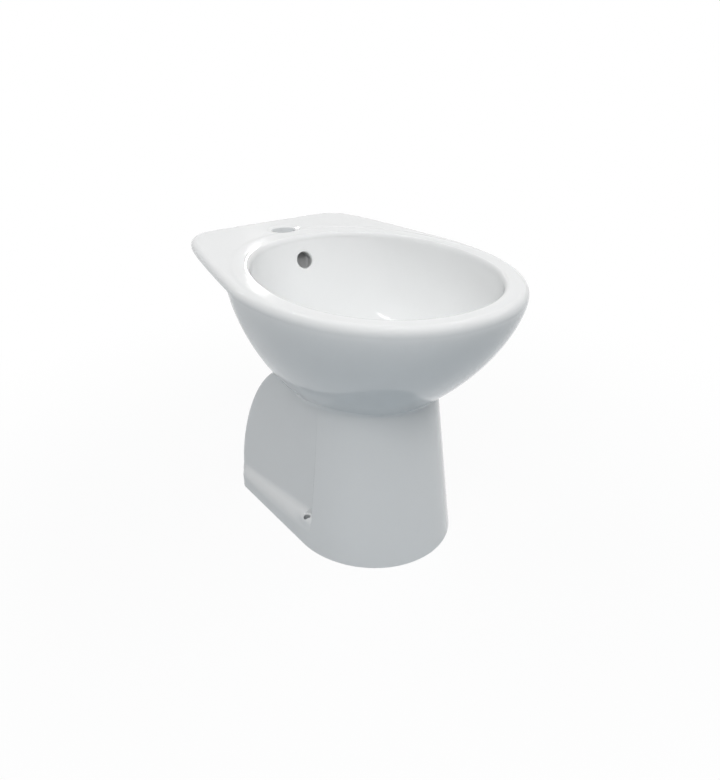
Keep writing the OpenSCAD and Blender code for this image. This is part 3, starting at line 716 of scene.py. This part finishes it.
def place(obj, matrix):
    """Moves a mesh's points by a matrix in millimetres, so that the object stays at the origin."""
    matrix = matrix.copy()
    matrix.translation = matrix.translation * MM
    obj.data.transform(matrix)
    obj.data.update()
    return obj


def flared(radius, edge, depth, above=ABOVE):
    """Profile of a hole's cutter: straight up to the rounded edge, which is a quarter circle out
    to the surface at height 0, then a wide clearance above."""
    arc = [
        (radius + edge * (1 - math.cos(f)), -edge * (1 - math.sin(f)))
        for f in np.radians(HOLE_EDGE_ANGLES)
    ]
    return [(radius, -depth), *arc, (radius + edge + HOLE_FLARE, above)]


def cut(obj, tool, bare_and_shaded=False):
    """Takes the tool's solid out of the piece and deletes the tool. The cut's faces are glazed,
    or unglazed where the glaze does not reach, in a grey that paints the hole's shade."""
    index = np.full(len(tool.data.polygons), int(bare_and_shaded), dtype=np.int32)
    tool.data.polygons.foreach_set("material_index", index)
    boolean = obj.modifiers.new("cut", "BOOLEAN")
    boolean.operation = "DIFFERENCE"
    boolean.solver = "EXACT"
    boolean.object = tool
    depsgraph = bpy.context.evaluated_depsgraph_get()
    result = bpy.data.meshes.new_from_object(obj.evaluated_get(depsgraph))
    obj.modifiers.clear()
    obj.data = result
    bpy.data.objects.remove(tool)


def back_wall(w):
    """Point of the basin's back wall at the angle w of its profile, and the way up the wall."""
    straight = np.array([math.pi / 2])
    p = basin_point(straight, w)[0]
    return p, basin_point(straight, w + WALL_TURN)[0] - p


def duct_path():
    """Middle line of the overflow duct: the basin's back wall moved out along its normal."""
    points = []
    for w in np.radians(DUCT_ANGLES):
        p, d = back_wall(w)
        d = d / np.linalg.norm(d)
        points.append(p + (DUCT_WALL + DUCT_D / 2) * np.array([0, d[2], -d[1]]))
    points.append(np.array([0, WASTE_Y + WASTE_HOLE_D / 2 - DUCT_INTO_WASTE, SEAT_Z - DUCT_END]))
    return np.array(points)


def duct(name, width, depth, shift, rise):
    """Bar of rounded oblong section along the duct's path, moved away from the basin by shift
    and started above the path's first point by rise."""
    path = duct_path()
    up = (path[0] - path[1]) / np.linalg.norm(path[0] - path[1])
    path = np.concatenate([[path[0] + rise * up], path])
    ahead = np.gradient(path, axis=0)
    side = np.stack([0 * ahead[:, 0], ahead[:, 2], -ahead[:, 1]], -1)
    side = side / np.linalg.norm(side, axis=-1, keepdims=True)
    t = np.linspace(0, 2 * math.pi, DUCT_PLACES, endpoint=False)
    r = egg(t, width / 2, depth / 2, depth / 2, DUCT_N, DUCT_N)
    across = (r * np.cos(t))[None, :, None] * np.array([1.0, 0, 0])
    rows = path[:, None] + across + side[:, None] * (r * np.sin(t) - shift)[None, :, None]
    return ring_solid(name, rows, path[0], path[-1])


def duct_tool():
    """Cutter of the overflow duct."""
    return duct("tool", DUCT_W, DUCT_D, 0, DUCT_RISE)


def overflow_tool():
    """Cutter of the overflow hole, square to the basin's back wall."""
    share = (BASIN_TOP - (HEIGHT - OVERFLOW_DROP)) / BASIN_DEPTH
    p, d = back_wall(math.acos(share ** (BASIN_BACK_FULL / 2)))
    depth = DUCT_WALL + DUCT_D / 2
    tool = turned("tool", flared(OVERFLOW_D / 2, OVERFLOW_ROUND, depth, OVERFLOW_ABOVE))
    turn = Matrix.Rotation(math.atan2(d[2], d[1]), 4, "X")
    return place(tool, Matrix.Translation(Vector(p)) @ turn)


def joined(name, pieces):
    """One object from several, with each piece's faces as they are."""
    with bpy.context.temp_override(
        active_object=pieces[0], selected_editable_objects=pieces, object=pieces[0]
    ):
        bpy.ops.object.join()
    pieces[0].name = name
    pieces[0].data.name = name
    return pieces[0]


def tap_tool():
    """Cutter of the tap hole, with the shallow ring round it on which a tap's seal sits."""
    seat = [(r, z - TAP_SEAT) for r, z in flared(TAP_HOLE_D / 2, TAP_HOLE_ROUND, TAP_PAST)[:-1]]
    seat.append((TAP_SEAT_R - TAP_SEAT_EDGE, -TAP_SEAT_SHARE * TAP_SEAT))
    seat += [(TAP_SEAT_R, 0.0), (TAP_SEAT_R + TAP_SEAT_FLARE, ABOVE)]
    deck = (0, BACK_Y - TAP_FROM_BACK, HEIGHT - DECK_DROP)
    return place(turned("tool", seat), Matrix.Translation(deck))


def recess_tool():
    """Cutter of the waste's hole and of the rounded recess that its flange lies in."""
    profile = [(WASTE_HOLE_D / 2, BOSS_Z - WASTE_PAST), (WASTE_HOLE_D / 2, SEAT_Z)]
    profile += [(RECESS_R + out, SEAT_Z + up) for out, up in RECESS_STEPS]
    return place(turned("tool", profile), Matrix.Translation((0, WASTE_Y, 0)))


def waste_boss():
    """Boss under the basin that the waste is clamped to, with a small bevel below."""
    hole_r, top = WASTE_HOLE_D / 2, SEAT_Z - BOSS_BELOW_SEAT
    profile = [(hole_r, top), (BOSS_R, top), (BOSS_R, BOSS_Z + BOSS_BEVEL)]
    profile += [(BOSS_R - BOSS_BEVEL, BOSS_Z), (hole_r, BOSS_Z)]
    return place(washer("boss", profile), Matrix.Translation((0, WASTE_Y, 0)))


def duct_rib():
    """Rib behind the bowl that holds the overflow duct, with the duct and its two mouths cut."""
    width, depth = DUCT_W + 2 * DUCT_WALL, DUCT_D + 2 * DUCT_WALL - RIB_INSET
    rib = duct("rib", width, depth, RIB_INSET / 2, DECK_T)
    cut(rib, overflow_tool())
    cut(rib, duct_tool())
    hole = turned("tool", [(WASTE_HOLE_D / 2, z) for z in RIB_HOLE_Z])
    cut(rib, place(hole, Matrix.Translation((0, WASTE_Y, 0))))
    return rib


def ledge_height(x, y):
    """Height of the pedestal's side where it reaches out to x on the line y."""
    reach = side_x(np.full_like(LEDGE_SEARCH, y), LEDGE_SEARCH)
    return float(np.interp(-x, -reach, LEDGE_SEARCH))


def cut_fixing_hole(wall, side):
    """Cuts the fixing hole of one side: its seat and rounded edge glazed, the rest unglazed,
    in a grey that paints the hole's shade.
    """
    x, y = FIXING_GAP / 2, -FIXING_FRONT
    level = ledge_height(x, y) - FIXING_SEAT
    mouth = turned("tool", flared(FIXING_D / 2, FIXING_ROUND, FIXING_MOUTH), FIXING_PLACES)
    cut(wall, place(mouth, Matrix.Translation((side * x, y, level))))
    top = level - FIXING_MOUTH + OVERLAP
    shaft = turned("tool", [(FIXING_D / 2, -FIXING_PAST), (FIXING_D / 2, top)], FIXING_PLACES)
    # The shaft's unglazed faces take the grey that paints the hole's shade
    cut(wall, place(shaft, Matrix.Translation((side * x, y, 0))), bare_and_shaded=True)


def china_body():
    """The fired casting: skin, pedestal, boss and duct rib, with its holes cut."""
    skin = bowl_skin()
    cut(skin, tap_tool())
    cut(skin, overflow_tool())
    cut(skin, duct_tool())
    cut(skin, recess_tool())
    wall = pedestal()
    for side in (-1, 1):
        cut_fixing_hole(wall, side)
    body = joined("china_body", [skin, wall, waste_boss(), duct_rib()])
    body.data.shade_smooth()
    body.data.set_sharp_from_angle(angle=math.radians(SHARP_ANGLE))
    return body


# Materials. A pattern's scale is how many of its waves lie in a metre.

POOLING_PER_M = 14.0
WAVES_PER_M = 33.0
# The fired body's real grit is under 0.1 mm, too fine to show, so its grain is drawn coarser
BODY_GRAIN_MM = 1.5
ROUGHNESS_SPREAD = 1.25

# A Mix node's colour inputs and output, which go by number because its sockets share their names
MIX_A, MIX_B, MIX_OUT = 6, 7, 2


def linear(code):
    """Linear colour of an sRGB hex value."""
    value = [int(code[i : i + 2], 16) / 255 for i in (1, 3, 5)]
    return (*[v / 12.92 if v <= 0.04045 else ((v + 0.055) / 1.055) ** 2.4 for v in value], 1)


def node(tree, kind, inputs=None, links=(), **settings):
    """Adds a node with its settings and its unlinked inputs, and links (from, output) to inputs."""
    made = tree.nodes.new(kind)
    for name, value in settings.items():
        setattr(made, name, value)
    for name, value in (inputs or {}).items():
        made.inputs[name].default_value = value
    for name, source, output in links:
        tree.links.new(source.outputs[output], made.inputs[name])
    return made


def new_material(name):
    """Empty material whose shader the caller sets."""
    material = bpy.data.materials.new(name)
    material.use_nodes = True
    material.node_tree.nodes.clear()
    return material, material.node_tree


def surface(tree, shader):
    """Joins a shader to the material's output."""
    output = node(tree, "ShaderNodeOutputMaterial")
    tree.links.new(shader.outputs[0], output.inputs["Surface"])


def glazed_china():
    """Vitreous china under a clear sprayed glaze: a white body whose glaze is glass smooth, pools
    a little over some 70 mm and lies in very low waves some 30 mm across."""
    material, tree = new_material("glazed_china")
    coords = node(tree, "ShaderNodeTexCoord")
    where = ("Vector", coords, "Object")
    pooling = node(
        tree,
        "ShaderNodeTexNoise",
        {"Scale": POOLING_PER_M, "Detail": 2.0, "Roughness": 0.4},
        [where],
    )
    colour = node(
        tree,
        "ShaderNodeMix",
        {MIX_A: linear("#f0f1f1"), MIX_B: linear("#f3f4f4")},
        [(0, pooling, "Fac")],
        data_type="RGBA",
    )
    waves = node(
        tree,
        "ShaderNodeTexNoise",
        {"Scale": WAVES_PER_M, "Detail": 1.0, "Roughness": 0.3},
        [where],
    )
    bump = node(
        tree,
        "ShaderNodeBump",
        {"Strength": 0.05, "Distance": 0.4 * MM},
        [("Height", waves, "Fac")],
    )
    shader = node(
        tree,
        "ShaderNodeBsdfPrincipled",
        {"Roughness": 0.07, "IOR": 1.52},
        [("Base Color", colour, MIX_OUT), ("Normal", bump, "Normal")],
    )
    surface(tree, shader)
    return material


def bare_china_painted_shade():
    """Fired body inside the fixing holes, where the sprayed glaze does not reach: matt and finely
    grained, and greyer than the body is, as painted shade of the hole's dim inside."""
    material, tree = new_material("bare_china_painted_shade")
    coords = node(tree, "ShaderNodeTexCoord")
    grain = node(
        tree,
        "ShaderNodeTexNoise",
        {"Scale": 1000.0 / BODY_GRAIN_MM, "Detail": 3.0},
        [("Vector", coords, "Object")],
    )
    # Painted shade: these greys are darker than the unglazed body, for the holes' shaded inside
    colour = node(
        tree,
        "ShaderNodeMix",
        {MIX_A: linear("#b4b7b9"), MIX_B: linear("#c1c4c6")},
        [(0, grain, "Fac")],
        data_type="RGBA",
    )
    shader = node(
        tree,
        "ShaderNodeBsdfPrincipled",
        {"Roughness": 0.7, "IOR": 1.5},
        [("Base Color", colour, MIX_OUT)],
    )
    surface(tree, shader)
    return material


def bright_metal(name, code, roughness, grain_mm):
    """Plated, turned or drawn metal whose roughness varies a little over a grain, which is drawn
    coarser than the real one so that it shows."""
    material, tree = new_material(name)
    coords = node(tree, "ShaderNodeTexCoord")
    grain = node(
        tree,
        "ShaderNodeTexNoise",
        {"Scale": 1000.0 / grain_mm, "Detail": 2.0},
        [("Vector", coords, "Object")],
    )
    rough = node(
        tree,
        "ShaderNodeMapRange",
        {"To Min": roughness / ROUGHNESS_SPREAD, "To Max": roughness * ROUGHNESS_SPREAD},
        [("Value", grain, "Fac")],
    )
    shader = node(
        tree,
        "ShaderNodeBsdfPrincipled",
        {"Base Color": linear(code), "Metallic": 1.0},
        [("Roughness", rough, "Result")],
    )
    surface(tree, shader)
    return material


def moulded(name, code, roughness, ior, grain_mm):
    """Moulded rubber or nylon, whose skin keeps the mould's fine texture, drawn coarser than the
    real one so that it shows."""
    material, tree = new_material(name)
    coords = node(tree, "ShaderNodeTexCoord")
    grain = node(
        tree,
        "ShaderNodeTexNoise",
        {"Scale": 1000.0 / grain_mm, "Detail": 2.0},
        [("Vector", coords, "Object")],
    )
    bump = node(
        tree,
        "ShaderNodeBump",
        {"Strength": 0.15, "Distance": 0.1 * MM},
        [("Height", grain, "Fac")],
    )
    shader = node(
        tree,
        "ShaderNodeBsdfPrincipled",
        {"Base Color": linear(code), "Roughness": roughness, "IOR": ior},
        [("Normal", bump, "Normal")],
    )
    surface(tree, shader)
    return material


FINISHES = {
    "glazed_china": glazed_china(),
    # unglazed fired body, matt, and greyed as painted shade inside the fixing holes
    "bare_china_painted_shade": bare_china_painted_shade(),
    # chromium plate over polished brass: mirror bright, faintly blue
    "chrome_plate": bright_metal("chrome_plate", "#dfe2e4", 0.08, 6.0),
    # turned brass left bare: warm yellow with tool marks
    "turned_brass": bright_metal("turned_brass", "#c9a55a", 0.28, 1.5),
    # drawn spring wire: dull silver
    "spring_wire": bright_metal("spring_wire", "#a9acae", 0.3, 1.0),
    # EPDM rubber: black and matt
    "epdm_rubber": moulded("epdm_rubber", "#232526", 0.65, 1.5, 1.2),
    # natural nylon: off-white and waxy
    "natural_nylon": moulded("natural_nylon", "#dedbcf", 0.42, 1.53, 1.0),
}

NODE_FINISHES = {
    "waste_body": "chrome_plate",
    "tail_pipe": "chrome_plate",
    "plug_cap": "chrome_plate",
    "lock_nut": "turned_brass",
    "plug_spring": "spring_wire",
    "flange_gasket": "epdm_rubber",
    "cone_gasket": "epdm_rubber",
    "tail_seal": "epdm_rubber",
    "plug_seal": "epdm_rubber",
    "slip_washer": "natural_nylon",
    "latch_core": "natural_nylon",
    "plug_sleeve": "natural_nylon",
}


def finish_nodes():
    """Gives each solid that stays as it is its material."""
    for name, finish in NODE_FINISHES.items():
        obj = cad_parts[name]
        obj.data.materials.clear()
        obj.data.materials.append(FINISHES[finish])


# Stage, lights and camera

# Floor: its size in metres, the tones that light and the camera meet, and the distances in metres
# between which what the camera sees of it fades to white
FLOOR_SIZE = 60.0
FLOOR_BOUNCE = "#adb8bf"
FLOOR_SEEN = "#f2f3f4"
FLOOR_FADE = (0.35, 1.0)
FLOOR_FADE_LEAST = 0.93
ROOM_COLOUR = "#dbe6f2"
ROOM_LIGHT = 0.02
# Points in metres that the wide lamps and the mirrored ones are aimed at
BOX_AIM = (0, 0, 0.3)
GLAZE_AIM = (0, 0, 0.38)
# Soft boxes: place in metres, width and power in watts
SOFT_BOXES = [
    ((-0.3, -1.6, 2.4), 1.6, 16.0),
    ((-1.5, -1.6, 2.0), 1.6, 22.0),
    ((-1.2, 0.9, 2.2), 1.6, 12.5),
    ((1.7, -0.6, 2.1), 1.6, 20.5),
]
# Narrow lamps that the glaze mirrors as streaks: place in metres, width, height and power in watts
TUBES = [
    ((-1.6, -1.0, 1.5), 1.2, 0.03, 2.0),
    ((1.6, -0.5, 1.6), 1.0, 0.015, 0.9),
    ((1.1, 1.6, 1.5), 0.35, 0.02, 0.3),
    ((-0.3, 0.9, 1.8), 0.03, 2.0, 3.0),
]
# Small round lamps that it mirrors as points: places in metres, the last one low behind the deck,
# and the width and power of each
GLINTS = [
    (-1.3, -0.7, 2.1), (-0.4, 1.4, 2.2), (1.2, 0.4, 2.2), (0.6, -1.5, 2.2), (0.3, 0.2, 2.4),
    (0.75, 1.9, 1.05),
]
GLINT_SIZE = 0.08
GLINT_POWER = 1.0


def seen_factor(tree):
    """1 for the rays that look at the background: camera, mirror and glass rays."""
    rays = node(tree, "ShaderNodeLightPath")
    seen = node(
        tree,
        "ShaderNodeMath",
        links=[(0, rays, "Is Camera Ray"), (1, rays, "Is Glossy Ray")],
        operation="MAXIMUM",
    )
    return node(
        tree,
        "ShaderNodeMath",
        links=[(0, seen, 0), (1, rays, "Is Transmission Ray")],
        operation="MAXIMUM",
    )


def studio_floor():
    """Pale floor: the camera and mirrors see it white with the object's soft shadow, fading to
    plain white away from the object. It sends back less light than white, as the photograph's
    floor does."""
    bpy.ops.mesh.primitive_plane_add(size=FLOOR_SIZE)
    floor = bpy.context.object
    floor.name = "studio_floor"
    material, tree = new_material("pale_floor")
    coords = node(tree, "ShaderNodeTexCoord")
    distance = node(
        tree, "ShaderNodeVectorMath", links=[(0, coords, "Object")], operation="LENGTH"
    )
    fade = node(
        tree,
        "ShaderNodeMapRange",
        {
            "From Min": FLOOR_FADE[0],
            "From Max": FLOOR_FADE[1],
            "To Min": FLOOR_FADE_LEAST,
            "To Max": 1.0,
        },
        [("Value", distance, "Value")],
        interpolation_type="SMOOTHSTEP",
    )
    dull = node(tree, "ShaderNodeBsdfDiffuse", {"Color": linear(FLOOR_BOUNCE)})
    pale = node(tree, "ShaderNodeBsdfDiffuse", {"Color": linear(FLOOR_SEEN)})
    white = node(tree, "ShaderNodeEmission", {"Color": (1, 1, 1, 1), "Strength": 1.0})
    bright = node(
        tree, "ShaderNodeMixShader", links=[(0, fade, "Result"), (1, pale, 0), (2, white, 0)]
    )
    mixed = node(
        tree, "ShaderNodeMixShader", links=[(0, seen_factor(tree), 0), (1, dull, 0), (2, bright, 0)]
    )
    surface(tree, mixed)
    floor.data.materials.append(material)


def studio_world():
    """Even, slightly cool room light, behind which camera, mirrors and glass see white."""
    world = bpy.data.worlds.new("studio")
    bpy.context.scene.world = world
    world.use_nodes = True
    tree = world.node_tree
    tree.nodes.clear()
    room = node(
        tree, "ShaderNodeBackground", {"Color": linear(ROOM_COLOUR), "Strength": ROOM_LIGHT}
    )
    white = node(tree, "ShaderNodeBackground", {"Color": (1, 1, 1, 1), "Strength": 1.0})
    mixed = node(
        tree, "ShaderNodeMixShader", links=[(0, seen_factor(tree), 0), (1, room, 0), (2, white, 0)]
    )
    output = node(tree, "ShaderNodeOutputWorld")
    tree.links.new(mixed.outputs[0], output.inputs["Surface"])


def lamp(name, place_m, aim_m, size, power, shape="SQUARE", mirrored=True):
    """Area lamp of size (width, height) at a place, turned to its aim. It shows in mirrors unless
    told not to."""
    data = bpy.data.lights.new(name, "AREA")
    data.energy = power
    data.shape = shape
    data.size, data.size_y = size
    obj = bpy.data.objects.new(name, data)
    obj.location = place_m
    aim = Vector(aim_m) - Vector(place_m)
    obj.rotation_euler = aim.to_track_quat("-Z", "Y").to_euler()
    obj.visible_glossy = mirrored
    bpy.context.scene.collection.objects.link(obj)


def studio_lights():
    """Wide soft boxes high up on four sides, a few long lamps for the streaks on the edges, and
    small round ones, which the glaze shows as points."""
    for spot, width, power in SOFT_BOXES:
        lamp("soft_box", spot, BOX_AIM, (width, width), power, mirrored=False)
    for spot, width, height, power in TUBES:
        lamp("tube", spot, GLAZE_AIM, (width, height), power, shape="RECTANGLE")
    for spot in GLINTS:
        lamp("glint", spot, GLAZE_AIM, (GLINT_SIZE, GLINT_SIZE), GLINT_POWER, shape="DISK")


# Camera: angles in degrees, place in millimetres, and the frame's pixels
PHOTO_SIZE = (720, 780)
CAMERA_AZIMUTH = -33.906
CAMERA_ELEVATION = 27.195
CAMERA_ROLL = -0.296
CAMERA_PLACE = (-515.2, -804.925, 690.592)
CAMERA_FOCAL_PX = 728.376
CAMERA_AXIS_PX = (369.387, 391.546)


def studio_camera():
    """Camera at the photograph's angle: back is the direction from the object to the camera."""
    az, el, roll = (math.radians(a) for a in (CAMERA_AZIMUTH, CAMERA_ELEVATION, CAMERA_ROLL))
    back = Vector((math.sin(az) * math.cos(el), -math.cos(az) * math.cos(el), math.sin(el)))
    right = Vector((math.cos(az), math.sin(az), 0))
    up = back.cross(right)
    level = Matrix((right, up, back)).transposed().to_4x4()
    data = bpy.data.cameras.new("photo_camera")
    data.sensor_width = 36
    data.lens = CAMERA_FOCAL_PX / PHOTO_SIZE[1] * data.sensor_width
    data.shift_x = (PHOTO_SIZE[0] / 2 - CAMERA_AXIS_PX[0]) / PHOTO_SIZE[1]
    data.shift_y = (CAMERA_AXIS_PX[1] - PHOTO_SIZE[1] / 2) / PHOTO_SIZE[1]
    camera = bpy.data.objects.new("photo_camera", data)
    bpy.context.scene.collection.objects.link(camera)
    camera.matrix_world = (
        Matrix.Translation(Vector(CAMERA_PLACE) * MM) @ level @ Matrix.Rotation(roll, 4, "Z")
    )
    bpy.context.scene.camera = camera


studio_camera()
studio_world()
studio_floor()
studio_lights()

china = china_body()
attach(china, "bidet")
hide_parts("ceramic_body")
finish_nodes()

bpy.context.scene.view_settings.view_transform = "Standard"

bpy.context.view_layer.update()
